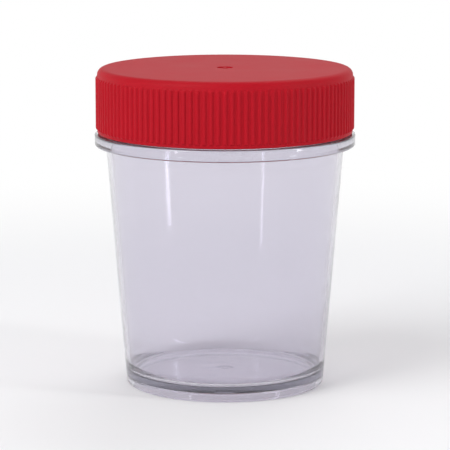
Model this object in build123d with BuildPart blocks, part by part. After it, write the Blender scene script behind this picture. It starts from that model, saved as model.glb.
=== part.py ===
from build123d import *
from math import cos, pi, sin
import os

# A specimen container: a clear moulded cup, and the finely ribbed cap that screws on its neck.
# Millimetres, +Z up. The origin is the centre of the ring that the cup stands on.
# Heights named z_ are measured from that standing plane, with the cap screwed home.

# Cup body
body_height = 59.6  # standing plane to the underside of the stop flange
foot_radius = 24.5  # outside of the body at the standing plane
shoulder_radius = 29.3  # outside of the body where it meets the flange
body_wall = 1.2
floor_thickness = 1.3
floor_recess = 2.0  # the floor is raised this far inside the foot ring
foot_ring_width = 2.2
foot_rounding = 0.8
floor_corner_radius = 3.0  # inside corner between floor and wall

# Cup neck and stop flange
neck_wall = 1.1
neck_height = 14.6  # top of the flange to the rim of the mouth
flange_thickness = 2.8
flange_overhang = 0.3  # how far the flange stands out past the ribs of the cap
flange_rounding = 0.4
flange_root_radius = 0.6  # moulded fillet between the wall and the underside of the flange
rim_rounding = 0.45

# Thread on the neck: one start, right-handed, with a rounded trapezium for its section
thread_pitch = 4.0
thread_turns = 1.25
thread_height = 0.9
thread_root_width = 2.0
thread_crest_width = 0.9
thread_crest_rounding = 0.25
thread_sink = 0.3  # how deep the ridge is rooted in the neck
thread_drop = 3.2  # rim of the mouth down to the middle of the thread's upper end
thread_runout = 3.0  # length over which each end of the ridge slopes down to the neck

# Cap
skirt_wall = 1.1
cap_top_thickness = 1.4
cap_corner_radius = 1.6
cap_inner_corner_radius = 0.8
skirt_edge_rounding = 0.3
seal_ring_depth = 3.2  # the plug that seals the mouth from inside
seal_ring_thickness = 0.9
seal_ring_tip_rounding = 0.35

# Grip ribs on the skirt
rib_count = 120
rib_height = 0.4
rib_rounding = 0.55
rib_low_margin = 0.8  # smooth band under the ribs
rib_high_margin = 2.0  # smooth band above the ribs, with the rounded corner in it

# Moulding gates: a shallow dimple with the stub of the sprue in it
gate_dimple_radius = 2.0
gate_dimple_depth = 0.3
gate_stub_radius = 0.6

# Clearances between the cup and the cap
skirt_gap = 0.3  # top of the flange to the bottom edge of the skirt
seat_clearance = 0.1  # rim of the mouth to the underside of the cap's top
thread_clearance = 0.2  # crest of the thread to the bore of the skirt
seal_clearance = 0.1  # seal ring to the inside of the mouth

# Radii and heights that follow from those sizes
mouth_radius = shoulder_radius - body_wall
neck_radius = mouth_radius + neck_wall
thread_crest_radius = neck_radius + thread_height
skirt_bore_radius = thread_crest_radius + thread_clearance
skirt_radius = skirt_bore_radius + skirt_wall
rib_crest_radius = skirt_radius + rib_height
flange_radius = rib_crest_radius + flange_overhang
seal_ring_radius = mouth_radius - seal_clearance

z_floor = floor_recess + floor_thickness
z_flange_top = body_height + flange_thickness
z_rim = z_flange_top + neck_height
z_skirt = z_flange_top + skirt_gap
z_cap_underside = z_rim + seat_clearance
z_cap_top = z_cap_underside + cap_top_thickness
z_rib_low = z_skirt + rib_low_margin
z_rib_high = z_cap_top - rib_high_margin


def wall_radius(height):
    """Outside radius of the tapering body at a height."""
    return foot_radius + (shoulder_radius - foot_radius) * height / body_height


def ring_edge(part, radius, height):
    """The circular edge of a part that lies nearest to a radius and a height."""
    rings = part.edges().filter_by(GeomType.CIRCLE)
    return rings.sort_by(lambda edge: abs(edge.radius - radius) + abs(edge.arc_center.Z - height))[0]


def polar_point(radius, angle):
    """A point in the XY plane from a radius and an angle in radians."""
    return radius * cos(angle), radius * sin(angle)


# The ridge of the thread, swept along its helix before it joins the neck
thread_rise = thread_pitch * thread_turns
z_thread_low = z_rim - thread_drop - thread_rise
flank_run = (thread_root_width - thread_crest_width) / 2
flank_slope = flank_run / thread_height
sunk_half_width = thread_root_width / 2 + thread_sink * flank_slope

with BuildPart() as neck_thread:
    with BuildLine() as thread_line:
        Helix(thread_pitch, thread_rise, neck_radius, center=(0, 0, z_thread_low))
    thread_start = Plane(origin=thread_line.line @ 0, x_dir=(1, 0, 0), z_dir=thread_line.line % 0)
    with BuildSketch(thread_start) as thread_section:
        with BuildLine():
            Polyline(
                (-thread_sink, -sunk_half_width),
                (thread_height, -thread_crest_width / 2),
                (thread_height, thread_crest_width / 2),
                (-thread_sink, sunk_half_width),
                close=True,
            )
        make_face()
        fillet(thread_section.vertices().sort_by(Axis.X)[-2:], radius=thread_crest_rounding)
    sweep(path=thread_line.line, is_frenet=True)
    # Each end slopes from the crest down into the neck instead of stopping square
    runout_angle = thread_runout / thread_crest_radius
    end_root_radius = neck_radius - thread_sink
    beyond_crest_radius = thread_crest_radius + thread_height
    for end_angle, end_height, inward in (
        (0, z_thread_low, 1),
        (2 * pi * thread_turns, z_thread_low + thread_rise, -1),
    ):
        with BuildSketch(Plane.XY.offset(end_height - thread_pitch / 2)):
            with BuildLine():
                Polyline(
                    polar_point(end_root_radius, end_angle),
                    polar_point(beyond_crest_radius, end_angle + inward * 2 * runout_angle),
                    polar_point(beyond_crest_radius, end_angle - inward * runout_angle),
                    close=True,
                )
            make_face()
        extrude(amount=thread_pitch, mode=Mode.SUBTRACT)

# The cup: one clear moulding with foot ring, tapering wall, stop flange and threaded neck
with BuildPart() as cup:
    with BuildSketch(Plane.XZ):
        with BuildLine():
            Polyline(
                (0, 0),
                (foot_radius, 0),
                (shoulder_radius, body_height),
                (flange_radius, body_height),
                (flange_radius, z_flange_top),
                (neck_radius, z_flange_top),
                (neck_radius, z_rim),
                (0, z_rim),
                close=True,
            )
        make_face()
    revolve(axis=Axis.Z)
    # The inside follows the wall up to the flange, and runs straight from there to the mouth
    floor_radius = wall_radius(z_floor) - body_wall
    with BuildSketch(Plane.XZ):
        with BuildLine():
            Polyline(
                (0, z_floor),
                (floor_radius, z_floor),
                (mouth_radius, body_height),
                (mouth_radius, z_rim),
                (0, z_rim),
                close=True,
            )
        make_face()
    revolve(axis=Axis.Z, mode=Mode.SUBTRACT)
    # The floor stands clear of the table inside the foot ring
    recess_radius = foot_radius - foot_ring_width
    with BuildSketch(Plane.XY):
        Circle(recess_radius)
    extrude(amount=floor_recess, mode=Mode.SUBTRACT)
    fillet(ring_edge(cup, floor_radius, z_floor), radius=floor_corner_radius)
    fillet(ring_edge(cup, foot_radius, 0), radius=foot_rounding)
    fillet(ring_edge(cup, shoulder_radius, body_height), radius=flange_root_radius)
    flange_edges = [ring_edge(cup, flange_radius, z) for z in (body_height, z_flange_top)]
    fillet(flange_edges, radius=flange_rounding)
    rim_edges = [ring_edge(cup, radius, z_rim) for radius in (mouth_radius, neck_radius)]
    fillet(rim_edges, radius=rim_rounding)
    # The gate lies under the middle of the floor, inside the recess
    with BuildSketch(Plane.XY.offset(floor_recess)):
        Circle(gate_dimple_radius)
    extrude(amount=gate_dimple_depth, mode=Mode.SUBTRACT)
    with BuildSketch(Plane.XY.offset(floor_recess)):
        Circle(gate_stub_radius)
    extrude(amount=gate_dimple_depth)
    add(neck_thread.part)
cup.part.label = "cup"

# The screw cap: one coloured moulding with flat top, ribbed skirt and seal ring
with BuildPart() as screw_cap:
    with BuildSketch(Plane.XY.offset(z_skirt)):
        Circle(skirt_radius)
        with PolarLocations(rib_crest_radius - rib_rounding, rib_count):
            Circle(rib_rounding)
    extrude(amount=z_cap_top - z_skirt)
    # The envelope leaves a smooth band under and over the ribs, whose ends slope at 45 degrees
    with BuildSketch(Plane.XZ) as envelope:
        with BuildLine():
            Polyline(
                (0, z_skirt),
                (skirt_radius, z_skirt),
                (skirt_radius, z_rib_low),
                (rib_crest_radius, z_rib_low + rib_height),
                (rib_crest_radius, z_rib_high - rib_height),
                (skirt_radius, z_rib_high),
                (skirt_radius, z_cap_top),
                (0, z_cap_top),
                close=True,
            )
        make_face()
        cap_corner = envelope.vertices().sort_by_distance((skirt_radius, z_cap_top))[0]
        fillet(cap_corner, radius=cap_corner_radius)
        skirt_corner = envelope.vertices().sort_by_distance((skirt_radius, z_skirt))[0]
        fillet(skirt_corner, radius=skirt_edge_rounding)
    revolve(axis=Axis.Z, mode=Mode.INTERSECT)
    # The bore clears the thread on the neck
    with BuildSketch(Plane.XY.offset(z_skirt)):
        Circle(skirt_bore_radius)
    extrude(amount=z_cap_underside - z_skirt, mode=Mode.SUBTRACT)
    fillet(ring_edge(screw_cap, skirt_bore_radius, z_cap_underside), radius=cap_inner_corner_radius)
    fillet(ring_edge(screw_cap, skirt_bore_radius, z_skirt), radius=skirt_edge_rounding)
    # The seal ring plugs the mouth from inside
    z_seal_tip = z_cap_underside - seal_ring_depth
    with BuildSketch(Plane.XY.offset(z_seal_tip)):
        Circle(seal_ring_radius)
        Circle(seal_ring_radius - seal_ring_thickness, mode=Mode.SUBTRACT)
    extrude(amount=seal_ring_depth)
    tip_radii = (seal_ring_radius, seal_ring_radius - seal_ring_thickness)
    tip_edges = [ring_edge(screw_cap, radius, z_seal_tip) for radius in tip_radii]
    fillet(tip_edges, radius=seal_ring_tip_rounding)
    # The gate lies in the middle of the top
    with BuildSketch(Plane.XY.offset(z_cap_top)):
        Circle(gate_dimple_radius)
    extrude(amount=-gate_dimple_depth, mode=Mode.SUBTRACT)
    with BuildSketch(Plane.XY.offset(z_cap_top - gate_dimple_depth)):
        Circle(gate_stub_radius)
    extrude(amount=gate_dimple_depth)
screw_cap.part.label = "screw_cap"

os.makedirs("parts", exist_ok=True)
export_step(cup.part, "parts/cup.step")
export_step(screw_cap.part, "parts/screw_cap.step")
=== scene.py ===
"""The looks of a specimen container: a clear moulded cup, and the finely ribbed red cap that screws on it.

The sizes of the two pieces are in millimetres and become metres where a mesh is made, and those of the
studio are in metres. +Z is up the axis of the cup, and the origin is the centre of the ring that the cup
stands on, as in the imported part.
"""

import logging
import math
from dataclasses import dataclass, field
from enum import Enum

import bpy
import numpy as np
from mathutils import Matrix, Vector


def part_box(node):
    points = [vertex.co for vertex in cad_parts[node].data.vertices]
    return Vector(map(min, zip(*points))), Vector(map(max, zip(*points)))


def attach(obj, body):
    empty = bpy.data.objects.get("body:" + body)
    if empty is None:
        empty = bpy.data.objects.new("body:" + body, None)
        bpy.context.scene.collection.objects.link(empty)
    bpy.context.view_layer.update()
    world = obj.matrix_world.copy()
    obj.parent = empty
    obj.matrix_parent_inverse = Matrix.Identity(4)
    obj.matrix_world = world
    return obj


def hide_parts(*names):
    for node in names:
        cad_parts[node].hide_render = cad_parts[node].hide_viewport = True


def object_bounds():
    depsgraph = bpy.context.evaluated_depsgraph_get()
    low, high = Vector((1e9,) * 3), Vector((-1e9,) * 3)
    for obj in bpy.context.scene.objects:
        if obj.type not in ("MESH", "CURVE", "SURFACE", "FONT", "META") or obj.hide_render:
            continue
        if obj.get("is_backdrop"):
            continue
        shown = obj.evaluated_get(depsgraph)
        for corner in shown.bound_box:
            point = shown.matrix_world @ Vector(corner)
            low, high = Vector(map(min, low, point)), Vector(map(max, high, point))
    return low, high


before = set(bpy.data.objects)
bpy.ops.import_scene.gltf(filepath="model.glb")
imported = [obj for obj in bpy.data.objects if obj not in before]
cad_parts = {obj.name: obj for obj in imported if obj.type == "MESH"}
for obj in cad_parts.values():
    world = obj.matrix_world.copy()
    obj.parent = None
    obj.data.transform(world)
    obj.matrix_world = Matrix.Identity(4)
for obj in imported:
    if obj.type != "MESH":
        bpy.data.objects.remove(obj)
cad_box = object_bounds()

log = logging.getLogger("specimen_container")

MM = 0.001

# How finely the meshes are divided
ARC_STEP = math.radians(15)  # turn of the surface from one row of an arc to the next
LEAST_ARC_STEPS = 2  # steps in an arc that turns less than that
ARC_MARGIN = 0.1  # mm from the end of an arc to the next row, which keeps the leg's shading straight
SHORTEST_LEG = 3 * ARC_MARGIN  # mm, under which a leg has no rows between its ends
THREAD_STEP = 0.1  # mm between rows across a thread
RUNOUT_STEP = 0.1  # mm between rows where the ribs run out
GROOVE_SHARE = 0.25  # of the way from a rib's foot to mid groove, to the column that keeps the groove flat

# The sRGB curve, a straight toe with a power curve above it
TOE_END = 0.04045
TOE_SLOPE = 12.92
CURVE_LIFT = 0.055
CURVE_POWER = 2.4

# The colour sockets of a Mix node, by number, because its other types use the same names
MIX_FIRST = 6
MIX_SECOND = 7
MIX_RESULT = 2

HALF_A_BOUNCE = 0.5  # light that met fewer matt surfaces than this has met none


class Body(Enum):
    """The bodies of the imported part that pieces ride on."""

    CUP = "cup"
    SCREW_CAP = "screw_cap"


class Slot(Enum):
    """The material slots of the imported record."""

    CLEAR = "clear_polypropylene"
    RED = "red_polyethylene"


@dataclass(frozen=True)
class Corner:
    """A corner of a turned profile, in mm.

    Attributes:
        radius: Distance from the axis.
        height: Height over the standing plane.
        rounding: Radius of the arc that replaces the corner, or 0 for a plain point.
        step: Largest distance between rows of vertices on the leg that follows.
    """

    radius: float
    height: float
    rounding: float = 0.0
    step: float = 4.0


@dataclass(frozen=True)
class Gate:
    """The mark of the moulding gate: a shallow dimple with the stub of the sprue in it, in mm.

    Attributes:
        dimple_radius: Radius of the dimple.
        depth: Its depth. The stub ends level with the surface again.
        stub_radius: Radius of the stub.
        rounding: Rounding of their corners.
    """

    dimple_radius: float = 2.0
    depth: float = 0.3
    stub_radius: float = 0.6
    rounding: float = 0.1

    def corners(self, surface: float, inwards: int) -> list[Corner]:
        """The section of the stub and the dimple, from the axis outwards.

        Args:
            surface: Height of the flat surface that the gate is in.
            inwards: 1 where the plastic lies above that surface, and -1 where it lies below.

        Returns:
            The corners, from the middle of the stub to the edge of the dimple.
        """
        low = surface + inwards * self.depth
        stub = [Corner(self.stub_radius, height, self.rounding) for height in (surface, low)]
        dimple = [Corner(self.dimple_radius, height, self.rounding) for height in (low, surface)]
        return [Corner(0, surface), *stub, *dimple]


def corner_arc(before: np.ndarray, corner: np.ndarray, after: np.ndarray, rounding: float) -> np.ndarray:
    """Points of the arc that rounds a corner and touches both of its legs.

    The centre lies on the bisector of the legs, the rounding over the sine of half their angle away, and
    the points go round it in even steps from one leg to the other.

    Args:
        before: A point on the leg that arrives, as radius and height.
        corner: The corner itself.
        after: A point on the leg that leaves.
        rounding: Radius of the arc, in mm, or 0 to keep the corner.

    Returns:
        An array of points, two numbers each.
    """
    if rounding == 0:
        return corner[None, :]
    back = (before - corner) / np.linalg.norm(before - corner)
    ahead = (after - corner) / np.linalg.norm(after - corner)
    half = math.acos(float(np.clip(back @ ahead, -1, 1))) / 2
    bisector = (back + ahead) / np.linalg.norm(back + ahead)
    centre = corner + bisector * rounding / math.sin(half)
    turn = math.pi - 2 * half
    steps = max(LEAST_ARC_STEPS, math.ceil(turn / ARC_STEP))
    across = math.copysign(1, back[0] * ahead[1] - back[1] * ahead[0])
    spoke = corner + back * rounding / math.tan(half) - centre
    first = math.atan2(spoke[1], spoke[0])
    angles = first - across * np.linspace(0, turn, steps + 1)
    return centre + rounding * np.stack([np.cos(angles), np.sin(angles)], axis=1)


def leg_rows(start: np.ndarray, end: np.ndarray, step: float) -> np.ndarray:
    """Points between the ends of a straight leg: one close to each end, and the rest evenly between.

    Args:
        start: The leg's first end, as radius and height.
        end: Its second end.
        step: Largest distance between points, in mm.

    Returns:
        The points between the ends, without the ends themselves.
    """
    length = float(np.linalg.norm(end - start))
    if length < SHORTEST_LEG or length <= step:
        return np.empty((0, 2))
    inner = np.linspace(ARC_MARGIN, length - ARC_MARGIN, math.ceil(length / step) + 1)
    return start + (end - start) * (inner / length)[:, None]


def profile_through(corners: list[Corner]) -> np.ndarray:
    """A turned profile: straight legs from corner to corner, joined by arcs that touch them.

    Args:
        corners: The corners in order. The first and the last are plain points.

    Returns:
        An array of points, radius and height in mm.
    """
    points = [np.array([corner.radius, corner.height]) for corner in corners]
    rounded = [
        corner_arc(before, point, after, corner.rounding)
        for before, point, after, corner in zip(points, points[1:], points[2:], corners[1:])
    ]
    rounded = [points[0][None, :], *rounded, points[-1][None, :]]
    rows = [rounded[0]]
    for corner, here, there in zip(corners, rounded, rounded[1:]):
        rows += [leg_rows(here[-1], there[0], corner.step), there]
    return np.concatenate(rows)


@dataclass
class TurnedSkin:
    """Collects rings of vertices about the axis and the faces between them, for one closed mesh.

    A row's angles run anticlockwise from above. Where the rows follow a section that is walked with the
    solid on its left, every face points out of the solid.

    Attributes:
        vertices: The points in metres, an array for each call that added some.
        faces: The numbers of each face's vertices.
        count: How many vertices there are so far.
    """

    vertices: list[np.ndarray] = field(default_factory=list)
    faces: list[list[int]] = field(default_factory=list)
    count: int = 0

    def add_rings(self, radius: np.ndarray, height: np.ndarray, angles: np.ndarray) -> np.ndarray:
        """Adds rings and the four-sided faces from each to the next.

        A point is radius times cosine, radius times sine, and height, with the angle of its column.

        Args:
            radius: Radius of each vertex in mm, rows by columns.
            height: Height of each vertex in mm, rows by columns.
            angles: Angle of each column in radians.

        Returns:
            The numbers of the vertices, rows by columns.
        """
        points = np.stack([radius * np.cos(angles), radius * np.sin(angles), height], axis=-1) * MM
        ring = self.count + np.arange(radius.size).reshape(radius.shape)
        self.vertices.append(points.reshape(-1, 3))
        self.count += radius.size
        beside = np.roll(ring, -1, axis=1)
        quads = np.stack([ring[:-1], beside[:-1], beside[1:], ring[1:]], axis=-1)
        self.faces += quads.reshape(-1, 4).tolist()
        return ring

    def close_pole(self, ring: np.ndarray, height: float, at_start: bool) -> None:
        """Closes a ring with triangles that meet in one point of the axis.

        Args:
            ring: Numbers of the ring's vertices.
            height: Height of the point in mm.
            at_start: True where the section starts on the axis, False where it ends there.
        """
        self.vertices.append(np.array([[0.0, 0.0, height * MM]]))
        pole = np.full_like(ring, self.count)
        self.count += 1
        beside = np.roll(ring, -1)
        order = [pole, beside, ring] if at_start else [ring, beside, pole]
        self.faces += np.stack(order, axis=-1).tolist()

    def stitch(self, first: np.ndarray, second: np.ndarray) -> None:
        """Joins two rings of different counts, one a whole number of times the other, by many-sided faces.

        Args:
            first: The ring that comes first along the section.
            second: The ring that comes next.
        """
        sides = min(len(first), len(second))
        near, far = stretches(first, sides), stretches(second, sides)
        self.faces += np.concatenate([near, far[:, ::-1]], axis=1).tolist()

    def make(self, name: str) -> bpy.types.Object:
        """Makes the mesh, smooth all over, and its object in the scene.

        Args:
            name: Name of the piece.

        Returns:
            The object, at the origin.
        """
        mesh = bpy.data.meshes.new(name)
        mesh.from_pydata(np.concatenate(self.vertices).tolist(), [], self.faces)
        mesh.shade_smooth()
        mesh.validate()
        piece = bpy.data.objects.new(name, mesh)
        bpy.context.scene.collection.objects.link(piece)
        return piece


def stretches(ring: np.ndarray, sides: int) -> np.ndarray:
    """Cuts a ring into equal stretches, one in each row, each ending with the next one's first vertex."""
    parts = ring.reshape(sides, -1)
    return np.concatenate([parts, np.roll(parts[:, :1], -1, axis=0)], axis=1)


def even_angles(columns: int) -> np.ndarray:
    """Angles of evenly spaced columns, from 0 up to a whole turn, in radians."""
    return np.arange(columns) * 2 * math.pi / columns


def carried_round(rows: np.ndarray, columns: int) -> tuple[np.ndarray, np.ndarray]:
    """Repeats each point of a profile in every column: a grid of radii and a grid of heights, in mm."""
    return np.repeat(rows[:, :1], columns, axis=1), np.repeat(rows[:, 1:], columns, axis=1)


def soft_ramp(x: np.ndarray, width: float) -> np.ndarray:
    """0 below 0 and x above it, with a parabola over the given width in place of the corner."""
    rounded = (x + width / 2) ** 2 / (2 * width)
    return np.where(np.abs(x) < width / 2, rounded, np.maximum(x, 0))


def smooth_step(x: np.ndarray) -> np.ndarray:
    """From 0 at 0 to 1 at 1, level at both: three times the square less twice the cube."""
    return x * x * (3 - 2 * x)


@dataclass(frozen=True)
class ThreadRidge:
    """The ridge of a one-start right-handed thread, in mm.

    Attributes:
        bottom: Height of the middle of the ridge where it starts, at angle 0.
        turns: How often it goes round.
        pitch: Rise in one turn.
        height: How far it stands off the surface that it winds round.
        root_width: Width at that surface.
        crest_width: Width of its flat crest.
        softness: Length over which its section's corners are rounded.
        runout: Length of the slope at either end.
    """

    bottom: float
    turns: float = 1.25
    pitch: float = 4.0
    height: float = 0.9
    root_width: float = 2.0
    crest_width: float = 0.9
    softness: float = 0.3
    runout: float = 3.0

    @classmethod
    def up_to(cls, top: float) -> "ThreadRidge":
        """The ridge of the usual sizes whose middle ends at a height."""
        return cls(bottom=top - cls.turns * cls.pitch)

    @property
    def lowest(self) -> float:
        """Height under which the ridge leaves its surface plain."""
        return self.bottom - (self.root_width + self.softness) / 2

    @property
    def highest(self) -> float:
        """Height over which the ridge leaves its surface plain."""
        return self.bottom + self.turns * self.pitch + (self.root_width + self.softness) / 2

    def relief(self, angles: np.ndarray, height: np.ndarray, radius: float) -> np.ndarray:
        """How far the ridge stands off its surface, in mm.

        The distance along the axis from the middle of the ridge goes through a trapezium with rounded
        corners. It is multiplied by a smooth slope over the run-out at either end, and where the ridge
        passes an angle twice, the higher of the two counts.

        Args:
            angles: Angle of each column in radians, from 0 up to a whole turn.
            height: Height of each vertex in mm, rows by columns.
            radius: Radius of the surface in mm, which gives the length of the run-out.

        Returns:
            The relief of each vertex, rows by columns.
        """
        flank = (self.root_width - self.crest_width) / 2
        relief = np.zeros_like(height)
        for lap in range(math.ceil(self.turns)):
            turned = angles / (2 * math.pi) + lap
            away = height - (self.bottom + self.pitch * turned)
            rise = soft_ramp(away + self.root_width / 2, self.softness)
            rise = rise - soft_ramp(away + self.crest_width / 2, self.softness)
            fall = soft_ramp(away - self.crest_width / 2, self.softness)
            fall = fall - soft_ramp(away - self.root_width / 2, self.softness)
            to_end = np.minimum(turned, self.turns - turned) * 2 * math.pi * radius
            slope = smooth_step(np.clip(to_end / self.runout, 0, 1))
            relief = np.maximum(relief, (rise - fall) / flank * self.height * slope)
        return relief


def linear_part(part: float) -> float:
    """The linear value of one sRGB part, both from 0 to 1."""
    curve = ((part + CURVE_LIFT) / (1 + CURVE_LIFT)) ** CURVE_POWER
    return part / TOE_SLOPE if part <= TOE_END else curve


def hex_colour(code: str) -> tuple[float, float, float, float]:
    """The linear colour of an sRGB hex code such as "#C0FFEE", with alpha 1."""
    red, green, blue = (linear_part(byte / 255) for byte in bytes.fromhex(code[1:]))
    return red, green, blue, 1.0


def add_node(
    tree: bpy.types.NodeTree,
    kind: str,
    inputs: dict[str | int, object] | None = None,
    **settings: object,
) -> bpy.types.Node:
    """Adds a node to a tree.

    Args:
        tree: The node tree.
        kind: Blender's name of the node's type.
        inputs: For each input, by name or number, its value or the output that is linked to it.
        settings: The node's own properties.

    Returns:
        The node.
    """
    node = tree.nodes.new(kind)
    for name, value in settings.items():
        setattr(node, name, value)
    for name, value in (inputs or {}).items():
        if isinstance(value, bpy.types.NodeSocket):
            tree.links.new(value, node.inputs[name])
        else:
            node.inputs[name].default_value = value
    return node


def empty_tree(owner: bpy.types.Material | bpy.types.World) -> bpy.types.NodeTree:
    """Switches on a node tree and clears it.

    Args:
        owner: The material or world that has the tree.

    Returns:
        The empty tree.
    """
    owner.use_nodes = True
    owner.node_tree.nodes.clear()
    return owner.node_tree


def cloudy(tree: bpy.types.NodeTree, size_mm: float, detail: float) -> bpy.types.NodeSocket:
    """Adds a cloudy pattern on Object coordinates.

    Args:
        tree: The node tree.
        size_mm: How far it is from patch to patch.
        detail: Number of finer layers on top of the coarsest.

    Returns:
        The pattern, from 0 to 1.
    """
    place = add_node(tree, "ShaderNodeTexCoord").outputs["Object"]
    pattern = {"Vector": place, "Scale": 1 / (size_mm * MM), "Detail": detail}
    return add_node(tree, "ShaderNodeTexNoise", pattern).outputs[0]


@dataclass(frozen=True)
class ClearPolypropylene:
    """Clarified polypropylene, injection-moulded in a polished mould.

    The eye gets a glossy skin with slow waves in it, a little milkiness, and a cool grey that deepens
    towards the edges, where it looks along the wall.

    Attributes:
        tint: Colour that the surface gives to light that passes it.
        depth_tint: Colour that light takes on inside the wall.
        depth_density: Strength of that, per metre.
        shadow: Colour of the light for matt surfaces that passes the skin square to it.
        shadow_edge: The same where the light grazes the skin, which bends most of it away.
        shadow_falloff: How close to grazing that starts: the higher, the closer.
        milkiness: Share of the light that the plastic scatters.
        ior: Refractive index.
        roughness: Roughness of the polished skin.
        wave_mm: Width of the slow waves left by the shrinking plastic.
        wave_depth_mm: Their depth.
    """

    tint: str = "#EDEBF2"
    depth_tint: str = "#BAB9C4"
    depth_density: float = 60.0
    shadow: str = "#FBFAFC"
    shadow_edge: str = "#84828C"
    shadow_falloff: float = 3.0
    milkiness: float = 0.04
    ior: float = 1.49
    roughness: float = 0.045
    wave_mm: float = 14.0
    wave_depth_mm: float = 0.035

    def material(self) -> bpy.types.Material:
        """Builds the material.

        Returns:
            The material, for a closed piece.
        """
        made = bpy.data.materials.new("clear_moulded_polypropylene")
        tree = empty_tree(made)
        waves = cloudy(tree, self.wave_mm, detail=1.0)
        bump = {"Height": waves, "Strength": 1.0, "Distance": self.wave_depth_mm * MM}
        skin = {
            "Base Color": hex_colour(self.tint),
            "Roughness": self.roughness,
            "IOR": self.ior,
            "Transmission Weight": 1 - self.milkiness,
            "Normal": add_node(tree, "ShaderNodeBump", bump).outputs[0],
        }
        plastic = add_node(tree, "ShaderNodeBsdfPrincipled", skin).outputs[0]
        # Light on its way to matt surfaces passes the clear wall unbent, from lamps and from other matt
        # surfaces, so the cup casts the light shadow of a clear thing and the inside of the cap is lit
        grazing = add_node(tree, "ShaderNodeLayerWeight").outputs["Facing"]
        falloff = {0: grazing, 1: self.shadow_falloff}
        bent = add_node(tree, "ShaderNodeMath", falloff, operation="POWER").outputs[0]
        passing = {0: bent, MIX_FIRST: hex_colour(self.shadow), MIX_SECOND: hex_colour(self.shadow_edge)}
        passed = add_node(tree, "ShaderNodeMix", passing, data_type="RGBA").outputs[MIX_RESULT]
        open_way = add_node(tree, "ShaderNodeBsdfTransparent", {"Color": passed}).outputs[0]
        path = add_node(tree, "ShaderNodeLightPath").outputs
        kinds = {0: path["Is Shadow Ray"], 1: path["Is Diffuse Ray"]}
        for_matt = add_node(tree, "ShaderNodeMath", kinds, operation="MAXIMUM").outputs[0]
        surface = add_node(tree, "ShaderNodeMixShader", {0: for_matt, 1: plastic, 2: open_way}).outputs[0]
        depth = {"Color": hex_colour(self.depth_tint), "Density": self.depth_density}
        inside = add_node(tree, "ShaderNodeVolumeAbsorption", depth).outputs[0]
        add_node(tree, "ShaderNodeOutputMaterial", {"Surface": surface, "Volume": inside})
        return made


@dataclass(frozen=True)
class RedPolyethylene:
    """Pigmented polyethylene, injection-moulded in a finely eroded mould.

    The eye gets a deep, even red with a satin sheen, soft edges where light enters the plastic, and a
    faint grain. The real grain is about 0.1 mm, too fine to show, so it is drawn four times as coarse.

    Attributes:
        red: Colour of the plastic.
        pale_red: Colour of its slightly paler patches.
        patch_mm: Width of those patches.
        ior: Refractive index.
        shine: Level of the mirror reflection, where 0.5 is that of the refractive index.
        smooth: Roughness where the mould was smoothest.
        dull: Roughness where it was dullest.
        grain_mm: Width of the grain as drawn.
        grain_depth_mm: Its depth.
        glow: Share of the light that enters the plastic and comes out beside.
        glow_mm: How far it travels inside.
        glow_reach: Shares of that for red, green and blue light.
    """

    red: str = "#A6091A"
    pale_red: str = "#AD0C1F"
    patch_mm: float = 9.0
    ior: float = 1.5
    shine: float = 0.12
    smooth: float = 0.5
    dull: float = 0.58
    grain_mm: float = 0.4
    grain_depth_mm: float = 0.012
    glow: float = 0.1
    glow_mm: float = 0.5
    glow_reach: tuple[float, float, float] = (1.0, 0.25, 0.2)

    def material(self) -> bpy.types.Material:
        """Builds the material.

        Returns:
            The material.
        """
        made = bpy.data.materials.new("red_moulded_polyethylene")
        tree = empty_tree(made)
        patches = cloudy(tree, self.patch_mm, detail=2.0)
        grain = cloudy(tree, self.grain_mm, detail=1.0)
        colours = {0: patches, MIX_FIRST: hex_colour(self.red), MIX_SECOND: hex_colour(self.pale_red)}
        colour = add_node(tree, "ShaderNodeMix", colours, data_type="RGBA").outputs[MIX_RESULT]
        dullness = {"Value": patches, "To Min": self.smooth, "To Max": self.dull}
        bump = {"Height": grain, "Strength": 1.0, "Distance": self.grain_depth_mm * MM}
        skin = {
            "Base Color": colour,
            "Roughness": add_node(tree, "ShaderNodeMapRange", dullness).outputs[0],
            "IOR": self.ior,
            "Specular IOR Level": self.shine,
            "Subsurface Weight": self.glow,
            "Subsurface Radius": self.glow_reach,
            "Subsurface Scale": self.glow_mm * MM,
            "Normal": add_node(tree, "ShaderNodeBump", bump).outputs[0],
        }
        surface = add_node(tree, "ShaderNodeBsdfPrincipled", skin).outputs[0]
        add_node(tree, "ShaderNodeOutputMaterial", {"Surface": surface})
        return made


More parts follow.
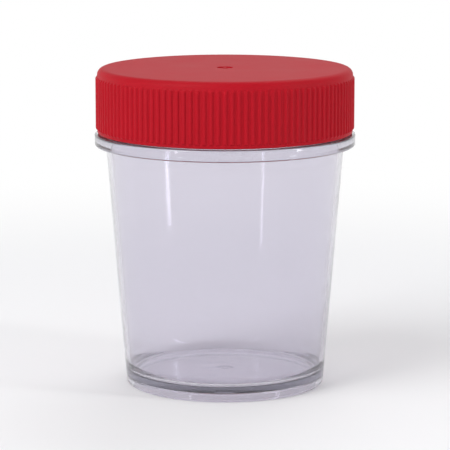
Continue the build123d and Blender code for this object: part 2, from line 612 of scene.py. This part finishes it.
@dataclass
class Cup:
    """The clear cup, moulded as one piece: foot ring, tapering wall, stop flange and threaded neck.

    Attributes, in mm:
        flange_radius: Outside of the stop flange, which is the widest part.
        rim_height: Height of the rim of the mouth.
        body_height: Height of the underside of the flange.
        foot_radius: Outside of the body at the standing plane.
        shoulder_radius: Outside of the body under the flange.
        neck_radius: Outside of the neck.
        mouth_radius: Inside of the neck.
        wall: Thickness of the tapering wall.
        flange_thickness: Thickness of the flange.
        floor: Thickness of the floor.
        recess: How far the floor is raised inside the foot ring.
        foot_ring: Width of the foot ring.
        gate: The mark of the gate under the floor.
        thread_drop: From the rim down to the middle of the thread's upper end.
        columns: Number of columns round the axis.
        foot_rounding: Rounding of the foot ring's outer edge.
        foot_inner_rounding: Rounding of its inner edge.
        recess_corner: Fillet between the foot ring and the underside of the floor.
        floor_corner: Fillet between the floor and the wall, inside.
        flange_root: Fillet between the wall and the underside of the flange.
        flange_rounding: Rounding of the flange's edges, and its fillet with the neck.
        rim_rounding: Rounding of the rim, which is nearly half round.
        shoulder_blend: Radius of the bend inside, where the tapering wall turns into the straight neck.
    """

    flange_radius: float
    rim_height: float
    body_height: float = 59.6
    foot_radius: float = 24.5
    shoulder_radius: float = 29.3
    neck_radius: float = 29.2
    mouth_radius: float = 28.1
    wall: float = 1.2
    flange_thickness: float = 2.8
    floor: float = 1.3
    recess: float = 2.0
    foot_ring: float = 2.2
    gate: Gate = Gate()
    thread_drop: float = 3.2
    columns: int = 320
    foot_rounding: float = 0.8
    foot_inner_rounding: float = 0.3
    recess_corner: float = 0.6
    floor_corner: float = 3.0
    flange_root: float = 0.6
    flange_rounding: float = 0.4
    rim_rounding: float = 0.45
    shoulder_blend: float = 8.0

    def thread(self) -> ThreadRidge:
        """The ridge on the outside of the neck."""
        return ThreadRidge.up_to(self.rim_height - self.thread_drop)

    def outer_radius(self, height: float) -> float:
        """Outside radius of the tapering wall at a height: it grows evenly from foot to shoulder."""
        share = height / self.body_height
        return self.foot_radius + (self.shoulder_radius - self.foot_radius) * share

    def section(self) -> list[Corner]:
        """The section, from the middle of the underside round the outside to the middle of the floor.

        Returns:
            Its corners, with fine rows where the thread is.
        """
        thread = self.thread()
        recess_radius = self.foot_radius - self.foot_ring
        flange_top = self.body_height + self.flange_thickness
        floor_top = self.recess + self.floor
        return [
            *self.gate.corners(self.recess, inwards=1),
            Corner(recess_radius, self.recess, self.recess_corner),
            Corner(recess_radius, 0, self.foot_inner_rounding),
            Corner(self.foot_radius, 0, self.foot_rounding),
            Corner(self.shoulder_radius, self.body_height, self.flange_root),
            Corner(self.flange_radius, self.body_height, self.flange_rounding),
            Corner(self.flange_radius, flange_top, self.flange_rounding),
            Corner(self.neck_radius, flange_top, self.flange_rounding),
            Corner(self.neck_radius, thread.lowest, step=THREAD_STEP),
            Corner(self.neck_radius, thread.highest),
            Corner(self.neck_radius, self.rim_height, self.rim_rounding),
            Corner(self.mouth_radius, self.rim_height, self.rim_rounding),
            Corner(self.mouth_radius, self.body_height, self.shoulder_blend),
            Corner(self.outer_radius(floor_top) - self.wall, floor_top, self.floor_corner),
            Corner(0, floor_top),
        ]

    def shape(self) -> bpy.types.Object:
        """Turns the section round the axis and lifts the thread off the neck.

        Returns:
            The cup as one closed surface.
        """
        profile = profile_through(self.section())
        angles = even_angles(self.columns)
        radius, height = carried_round(profile[1:-1], self.columns)
        on_neck = np.isclose(radius, self.neck_radius)
        radius = radius + on_neck * self.thread().relief(angles, height, self.neck_radius)
        skin = TurnedSkin()
        ring = skin.add_rings(radius, height, angles)
        skin.close_pole(ring[0], profile[0, 1], at_start=True)
        skin.close_pole(ring[-1], profile[-1, 1], at_start=False)
        return skin.make("clear_cup")

    def build(self, finish: bpy.types.Material) -> bpy.types.Object:
        """Shapes the cup and puts it in the place of its solid.

        Args:
            finish: The clear plastic.

        Returns:
            The piece.
        """
        piece = self.shape()
        piece.data.materials.append(finish)
        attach(piece, Body.CUP.value)
        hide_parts("cup")
        return piece


@dataclass
class ScrewCap:
    """The red cap, moulded as one piece: flat top, ribbed skirt, inside thread and seal ring.

    Attributes, in mm:
        crest_radius: Out to the crests of the ribs, which is the widest part.
        bottom: Height of the skirt's bottom edge.
        top: Height of the flat top.
        neck_radius: Outside of the neck that it screws on.
        neck_thread: The ridge on that neck.
        rib_height: How far the ribs stand off the skirt.
        rib_rounding: Radius of their half-round crests.
        rib_count: How many there are.
        low_margin: Smooth band under the ribs.
        high_margin: Smooth band above the ribs, with the rounded corner in it.
        skirt_wall: Thickness of the skirt.
        top_thickness: Thickness of the top.
        corner: Rounding of the outer corner between skirt and top.
        edge_rounding: Rounding of the skirt's bottom edge, and fillets of the seal ring.
        inner_corner: Fillet between skirt and top, inside.
        seal_radius: Outside of the ring that plugs the mouth.
        seal_wall: Thickness of that ring.
        seal_depth: How far it reaches down.
        seal_tip_rounding: Rounding of its tip.
        thread_gap: Gap between the flanks of the two threads.
        gate: The mark of the gate in the top.
        columns: Columns round the axis, apart from the outside of the skirt.
        rib_columns: Columns in one rib and one groove, a whole number of times columns over ribs.
        seam: Width of the rings of faces that join the ribbed outside to the inside and the top.
    """

    crest_radius: float
    bottom: float
    top: float
    neck_radius: float
    neck_thread: ThreadRidge
    rib_height: float = 0.4
    rib_rounding: float = 0.55
    rib_count: int = 120
    low_margin: float = 0.8
    high_margin: float = 2.0
    skirt_wall: float = 1.1
    top_thickness: float = 1.4
    corner: float = 1.6
    edge_rounding: float = 0.3
    inner_corner: float = 0.8
    seal_radius: float = 28.0
    seal_wall: float = 0.9
    seal_depth: float = 3.2
    seal_tip_rounding: float = 0.35
    thread_gap: float = 0.1
    gate: Gate = Gate()
    columns: int = 240
    rib_columns: int = 12
    seam: float = 0.3

    @property
    def skirt_radius(self) -> float:
        """Outside of the skirt between the ribs."""
        return self.crest_radius - self.rib_height

    @property
    def bore_radius(self) -> float:
        """Inside of the skirt."""
        return self.skirt_radius - self.skirt_wall

    def thread(self) -> ThreadRidge:
        """The ridge inside the skirt, which lies under the ridge on the neck and pulls the cap down on it.

        Both flanks slope alike, so at every radius the two ridges are together one root width wide, less
        the slope times the distance from the neck to the bore.

        Returns:
            The ridge, with the other sizes of the neck's.
        """
        neck = self.neck_thread
        flank_slope = (neck.root_width - neck.crest_width) / 2 / neck.height
        ridges_width = neck.root_width - flank_slope * (self.bore_radius - self.neck_radius)
        return ThreadRidge(bottom=neck.bottom - ridges_width - self.thread_gap)

    def inner_section(self) -> list[Corner]:
        """The inside, from the middle of the top's underside to the middle of the skirt's bottom edge.

        Returns:
            Its corners, with fine rows where the thread is.
        """
        under = self.top - self.top_thickness
        seal_tip = under - self.seal_depth
        seal_inside = self.seal_radius - self.seal_wall
        thread = self.thread()
        return [
            Corner(0, under),
            Corner(seal_inside, under, self.edge_rounding),
            Corner(seal_inside, seal_tip, self.seal_tip_rounding),
            Corner(self.seal_radius, seal_tip, self.seal_tip_rounding),
            Corner(self.seal_radius, under, self.edge_rounding),
            Corner(self.bore_radius, under, self.inner_corner),
            Corner(self.bore_radius, thread.highest, step=THREAD_STEP),
            Corner(self.bore_radius, thread.lowest),
            Corner(self.bore_radius, self.bottom, self.edge_rounding),
            Corner(self.bore_radius + (self.skirt_wall - self.seam) / 2, self.bottom),
        ]

    def outer_section(self) -> list[Corner]:
        """The outside, from the skirt's bottom edge over the ribs to the edge of the flat top.

        Returns:
            Its corners, with fine rows where the ribs run out.
        """
        skirt = self.skirt_radius
        low = self.bottom + self.low_margin
        high = self.top - self.high_margin
        return [
            Corner(skirt - (self.skirt_wall - self.seam) / 2, self.bottom),
            Corner(skirt, self.bottom, self.edge_rounding),
            Corner(skirt, low, step=RUNOUT_STEP),
            Corner(skirt, low + self.rib_height),
            Corner(skirt, high - self.rib_height, step=RUNOUT_STEP),
            Corner(skirt, high),
            Corner(skirt, self.top, self.corner),
            Corner(skirt - self.corner - self.seam, self.top),
        ]

    def top_section(self) -> list[Corner]:
        """The flat top, from near its edge to its middle, with the mark of the gate."""
        edge = Corner(self.skirt_radius - self.corner - 2 * self.seam, self.top)
        return [edge, *reversed(self.gate.corners(self.top, inwards=-1))]

    def rib_angles(self) -> np.ndarray:
        """Angles of the columns of the ribbed outside.

        From a crest they go in even steps round the rib's own circle to its foot, then one just past the
        foot and one in the middle of the groove, and back up the next rib the same way.

        Returns:
            Angles in radians, from 0 up to a whole turn.
        """
        centre = self.crest_radius - self.rib_rounding
        spread = (self.skirt_radius**2 - centre**2 - self.rib_rounding**2) / (2 * centre * self.rib_rounding)
        foot = math.acos(spread)
        half_count = self.rib_columns // 2
        around = np.linspace(0, foot, half_count - 1)
        rib = np.arctan2(self.rib_rounding * np.sin(around), centre + self.rib_rounding * np.cos(around))
        half_pitch = math.pi / self.rib_count
        past_foot = rib[-1] + (half_pitch - rib[-1]) * GROOVE_SHARE
        half = np.concatenate([rib, [past_foot, half_pitch]])
        whole = np.concatenate([half, 2 * half_pitch - half[-2:0:-1]])
        return (np.arange(self.rib_count)[:, None] * 2 * half_pitch + whole).ravel()

    def ribbed_radius(self, radius: np.ndarray, height: np.ndarray, angles: np.ndarray) -> np.ndarray:
        """Lifts the ribs off the skirt.

        Across, a rib is a circle about a point inside the skirt: the distance from the axis is the
        centre's radius times the cosine of the angle, plus the root of the circle's radius squared less
        the square of the centre's radius times the sine. Along, it is cut off by a 45 degree slope at
        either end.

        Args:
            radius: Radius of the smooth skirt in mm, rows by columns.
            height: Height in mm, rows by columns.
            angles: Angle of each column in radians.

        Returns:
            The radius with ribs, rows by columns.
        """
        centre = self.crest_radius - self.rib_rounding
        pitch = 2 * math.pi / self.rib_count
        from_crest = (angles + pitch / 2) % pitch - pitch / 2
        beside = centre * np.sin(from_crest)
        inside = np.maximum(self.rib_rounding**2 - beside**2, 0)
        rib = centre * np.cos(from_crest) + np.sqrt(inside) - self.skirt_radius
        low = height - (self.bottom + self.low_margin)
        high = self.top - self.high_margin - height
        slope = np.clip(np.minimum(low, high), 0, self.rib_height)
        return radius + np.minimum(np.maximum(rib, 0), slope)

    def shape(self) -> bpy.types.Object:
        """Turns the three sections, and stitches the ribbed one to the coarser inside and top.

        Returns:
            The cap as one closed surface.
        """
        skin = TurnedSkin()
        angles, rib_angles = even_angles(self.columns), self.rib_angles()
        inner = profile_through(self.inner_section())
        outer = profile_through(self.outer_section())
        top = profile_through(self.top_section())

        radius, height = carried_round(inner[1:], self.columns)
        on_bore = np.isclose(radius, self.bore_radius)
        radius = radius - on_bore * self.thread().relief(angles, height, self.bore_radius)
        inner_ring = skin.add_rings(radius, height, angles)
        skin.close_pole(inner_ring[0], inner[0, 1], at_start=True)

        radius, height = carried_round(outer, len(rib_angles))
        outer_ring = skin.add_rings(self.ribbed_radius(radius, height, rib_angles), height, rib_angles)
        skin.stitch(inner_ring[-1], outer_ring[0])

        radius, height = carried_round(top[:-1], self.columns)
        top_ring = skin.add_rings(radius, height, angles)
        skin.stitch(outer_ring[-1], top_ring[0])
        skin.close_pole(top_ring[-1], top[-1, 1], at_start=False)
        return skin.make("ribbed_screw_cap")

    def build(self, finish: bpy.types.Material) -> bpy.types.Object:
        """Shapes the cap and puts it in the place of its solid.

        Args:
            finish: The red plastic.

        Returns:
            The piece.
        """
        piece = self.shape()
        piece.data.materials.append(finish)
        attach(piece, Body.SCREW_CAP.value)
        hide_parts("screw_cap")
        return piece


@dataclass(frozen=True)
class SoftBox:
    """A rectangular lamp that points at the middle of the object.

    Attributes:
        name: Its name.
        azimuth: Where it stands round the axis, in degrees from the camera's side, anticlockwise from above.
        elevation: Its height over the horizon, in degrees.
        distance: How far it is from the object, in metres.
        width: Its width in metres.
        height: Its height in metres.
        power: Its power in watts.
        shows_through: True if it is seen through clear plastic, as a highlight inside it.
    """

    name: str
    azimuth: float
    elevation: float
    distance: float
    width: float
    height: float
    power: float
    shows_through: bool = False

    def place(self, target: Vector) -> None:
        """Hangs the lamp in the scene. Its light is plain white.

        Args:
            target: The point that it is turned towards.
        """
        lamp = bpy.data.lights.new(self.name, "AREA")
        lamp.shape = "RECTANGLE"
        lamp.size = self.width
        lamp.size_y = self.height
        lamp.energy = self.power
        stand = bpy.data.objects.new(self.name, lamp)
        away = view_direction(self.azimuth, self.elevation)
        stand.location = target + away * self.distance
        stand.rotation_euler = (-away).to_track_quat("-Z", "Y").to_euler()
        stand.visible_camera = False
        stand.visible_transmission = self.shows_through
        bpy.context.scene.collection.objects.link(stand)


def view_direction(azimuth: float, elevation: float) -> Vector:
    """The direction from the object to a viewer, where azimuth 0 is the -Y side and 90 is +X, in degrees."""
    around, up = math.radians(azimuth), math.radians(elevation)
    return Vector((math.sin(around) * math.cos(up), -math.cos(around) * math.cos(up), math.sin(up)))


@dataclass
class Studio:
    """A pale floor that fades to white, soft lamps, and the camera.

    Attributes:
        floor_colour: Colour of the floor near the object.
        floor_radius: Radius of the floor in metres.
        floor_sides: Number of its sides.
        fade_start: Distance from the axis where the floor starts to fade to white, in metres.
        fade_end: Distance where it is white, in metres.
        wall_light: Strength of the light from the white walls round the studio.
        ceiling_light: Strength of the light from overhead, apart from the lamps.
        wall_top: Sine of the elevation where the walls start to pass into the ceiling.
        ceiling_edge: Sine of the elevation where they have done so.
        lamps: The soft boxes.
        camera_elevation: Height of the camera over the horizon, in degrees, as in the photograph.
        camera_distance: Distance of the camera in metres.
        lens: Focal length in mm.
    """

    floor_colour: str = "#F1F1F3"
    floor_radius: float = 4.0
    floor_sides: int = 96
    fade_start: float = 0.09
    fade_end: float = 0.35
    wall_light: float = 1.0
    ceiling_light: float = 0.4
    wall_top: float = 0.1
    ceiling_edge: float = 0.6
    lamps: tuple[SoftBox, ...] = (
        SoftBox(
            name="key_softbox",
            azimuth=-48,
            elevation=42,
            distance=0.9,
            width=0.5,
            height=0.8,
            power=4.5,
        ),
        SoftBox(
            name="back_softbox",
            azimuth=160,
            elevation=50,
            distance=1.0,
            width=0.7,
            height=0.5,
            power=2.4,
        ),
        SoftBox(
            name="right_strip",
            azimuth=66,
            elevation=25,
            distance=0.6,
            width=0.06,
            height=0.63,
            power=0.9,
            shows_through=True,
        ),
        SoftBox(
            name="left_strip",
            azimuth=-42,
            elevation=25,
            distance=0.6,
            width=0.03,
            height=0.63,
            power=0.4,
            shows_through=True,
        ),
    )
    camera_elevation: float = 10.0
    camera_distance: float = 0.62
    lens: float = 200.0

    def lay_floor(self) -> None:
        """Lays a round floor that can be seen from above only, so that the underside can be looked at."""
        around = even_angles(self.floor_sides)
        corners = np.stack([np.cos(around), np.sin(around), 0 * around], axis=1) * self.floor_radius
        mesh = bpy.data.meshes.new("floor")
        mesh.from_pydata(corners.tolist(), [], [list(range(self.floor_sides))])
        floor = bpy.data.objects.new("floor", mesh)
        bpy.context.scene.collection.objects.link(floor)
        mesh.materials.append(self.floor_material())
        floor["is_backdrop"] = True

    def floor_material(self) -> bpy.types.Material:
        """Matt pale floor that turns into plain white with the distance from the object.

        Only what the camera, gloss and clear plastic see fades to white, so that the white adds no light.
        From below the floor is clear.

        Returns:
            The material.
        """
        made = bpy.data.materials.new("matt_pale_floor")
        tree = empty_tree(made)
        place = add_node(tree, "ShaderNodeTexCoord").outputs["Object"]
        distance = add_node(tree, "ShaderNodeVectorMath", {0: place}, operation="LENGTH").outputs["Value"]
        fade = {"Value": distance, "From Min": self.fade_start, "From Max": self.fade_end}
        faded = add_node(tree, "ShaderNodeMapRange", fade, interpolation_type="SMOOTHERSTEP").outputs[0]
        factors = {0: faded, 1: seen_ray(tree, in_gloss=True)}
        share = add_node(tree, "ShaderNodeMath", factors, operation="MULTIPLY").outputs[0]
        paint = {"Color": hex_colour(self.floor_colour)}
        matt = add_node(tree, "ShaderNodeBsdfDiffuse", paint).outputs[0]
        white = add_node(tree, "ShaderNodeEmission", {"Strength": 1.0}).outputs[0]
        lit = add_node(tree, "ShaderNodeMixShader", {0: share, 1: matt, 2: white}).outputs[0]
        below = add_node(tree, "ShaderNodeNewGeometry").outputs["Backfacing"]
        clear = add_node(tree, "ShaderNodeBsdfTransparent").outputs[0]
        surface = add_node(tree, "ShaderNodeMixShader", {0: below, 1: lit, 2: clear}).outputs[0]
        add_node(tree, "ShaderNodeOutputMaterial", {"Surface": surface})
        return made

    def light(self, target: Vector) -> None:
        """Sets the light from all round, and hangs the lamps.

        Gloss shows the white walls and the dimmer ceiling, as they light the object. The camera sees
        plain white behind the object, also through the clear plastic.

        Args:
            target: The middle of the object.
        """
        world = bpy.data.worlds.new("studio")
        bpy.context.scene.world = world
        tree = empty_tree(world)
        direction = add_node(tree, "ShaderNodeTexCoord").outputs["Generated"]
        upward = add_node(tree, "ShaderNodeSeparateXYZ", {0: direction}).outputs["Z"]
        fall = {
            "Value": upward,
            "From Min": self.wall_top,
            "From Max": self.ceiling_edge,
            "To Min": self.wall_light,
            "To Max": self.ceiling_light,
        }
        strength = add_node(tree, "ShaderNodeMapRange", fall, interpolation_type="SMOOTHSTEP").outputs[0]
        paper = {"Color": hex_colour("#FFFFFF")}
        room = add_node(tree, "ShaderNodeBackground", paper | {"Strength": strength}).outputs[0]
        white = add_node(tree, "ShaderNodeBackground", paper | {"Strength": 1.0}).outputs[0]
        behind = seen_ray(tree, in_gloss=False)
        seen = add_node(tree, "ShaderNodeMixShader", {0: behind, 1: room, 2: white}).outputs[0]
        add_node(tree, "ShaderNodeOutputWorld", {"Surface": seen})
        for lamp in self.lamps:
            lamp.place(target)

    def set_camera(self, target: Vector) -> None:
        """Puts the camera at the photograph's height of view, with a long lens as for small things.

        Args:
            target: The middle of the object.
        """
        camera = bpy.data.cameras.new("camera")
        camera.lens = self.lens
        viewer = bpy.data.objects.new("camera", camera)
        towards = view_direction(0, self.camera_elevation)
        viewer.location = target + towards * self.camera_distance
        viewer.rotation_euler = (-towards).to_track_quat("-Z", "Y").to_euler()
        bpy.context.scene.collection.objects.link(viewer)
        bpy.context.scene.camera = viewer

    def build(self, target: Vector) -> None:
        """Sets up the floor, the lights, the camera and the plain view transform.

        Args:
            target: The middle of the object.
        """
        self.lay_floor()
        self.light(target)
        self.set_camera(target)
        bpy.context.scene.view_settings.view_transform = "Standard"


def seen_ray(tree: bpy.types.NodeTree, in_gloss: bool) -> bpy.types.NodeSocket:
    """Tells what is seen from what only lights the object.

    Args:
        tree: The node tree.
        in_gloss: True to count what is seen in gloss too.

    Returns:
        1 for what the camera sees by itself or through something clear, and 0 for lighting.
    """
    path = add_node(tree, "ShaderNodeLightPath").outputs
    kinds = {0: path["Is Camera Ray"], 1: path["Is Transmission Ray"]}
    seen = add_node(tree, "ShaderNodeMath", kinds, operation="MAXIMUM").outputs[0]
    if in_gloss:
        kinds = {0: seen, 1: path["Is Glossy Ray"]}
        seen = add_node(tree, "ShaderNodeMath", kinds, operation="MAXIMUM").outputs[0]
    before_matt = {0: path["Diffuse Depth"], 1: HALF_A_BOUNCE}
    direct = add_node(tree, "ShaderNodeMath", before_matt, operation="LESS_THAN").outputs[0]
    return add_node(tree, "ShaderNodeMath", {0: seen, 1: direct}, operation="MULTIPLY").outputs[0]


def report(piece: bpy.types.Object) -> None:
    """Logs a piece's name, its faces and its size in mm."""
    size = " x ".join(f"{side / MM:.1f}" for side in piece.dimensions)
    log.info("%s: %d faces, %s mm", piece.name, len(piece.data.polygons), size)


def main() -> None:
    """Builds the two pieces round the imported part, then the studio."""
    logging.basicConfig(level=logging.INFO, format="%(name)s: %(message)s")
    cup_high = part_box("cup")[1] / MM
    cap_low, cap_high = (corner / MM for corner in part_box("screw_cap"))

    cup = Cup(flange_radius=cup_high.x, rim_height=cup_high.z)
    report(cup.build(ClearPolypropylene().material()))
    cap = ScrewCap(cap_high.x, cap_low.z, cap_high.z, cup.neck_radius, cup.thread())
    report(cap.build(RedPolyethylene().material()))

    middle = (cad_box[0] + cad_box[1]) / 2
    Studio().build(middle)
    boxes = {"cad": cad_box, "visual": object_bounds()}
    boxes = {name: [list(corner) for corner in box] for name, box in boxes.items()}


if __name__ == "__main__":
    main()
